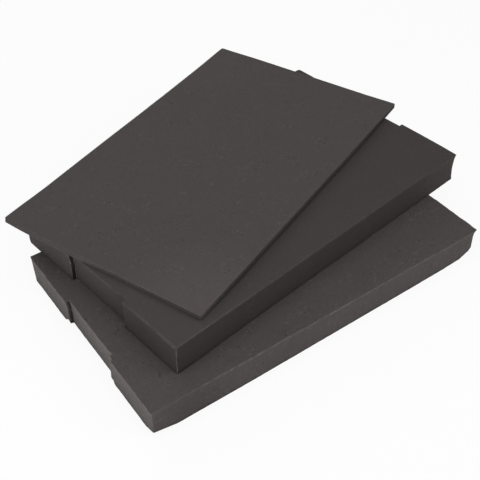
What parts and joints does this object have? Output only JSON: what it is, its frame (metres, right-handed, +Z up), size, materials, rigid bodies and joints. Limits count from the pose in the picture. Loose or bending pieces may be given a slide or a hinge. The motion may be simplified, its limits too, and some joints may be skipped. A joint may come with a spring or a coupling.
{
  "type": "foam case insert",
  "caption": "Layered foam insert for a carrying case: thick pads with shallow rib recesses in their ends, under a thin cover sheet, stacked and fanned out.",
  "frame": {"origin": "centre of the base pad's flat underside, on the surface that the insert lies on", "axes": "+X along the base pad's long sides, +Y along its short ends towards the side that the upper layers are fanned out to, +Z up through the stack"},
  "size_m": [0.457, 0.4077, 0.075],
  "materials": {
    "pad_foam": "matte dark warm-grey open-cell polyurethane foam, fine cells, cut surfaces",
    "sheet_foam": "matte dark warm-grey open-cell polyurethane foam sheet, fine cells, split surfaces"
  },
  "bodies": {
    "root": {"base_pad": "pad_foam", "middle_pad": "pad_foam", "cover_sheet": "sheet_foam"}
  },
  "joints": []
}
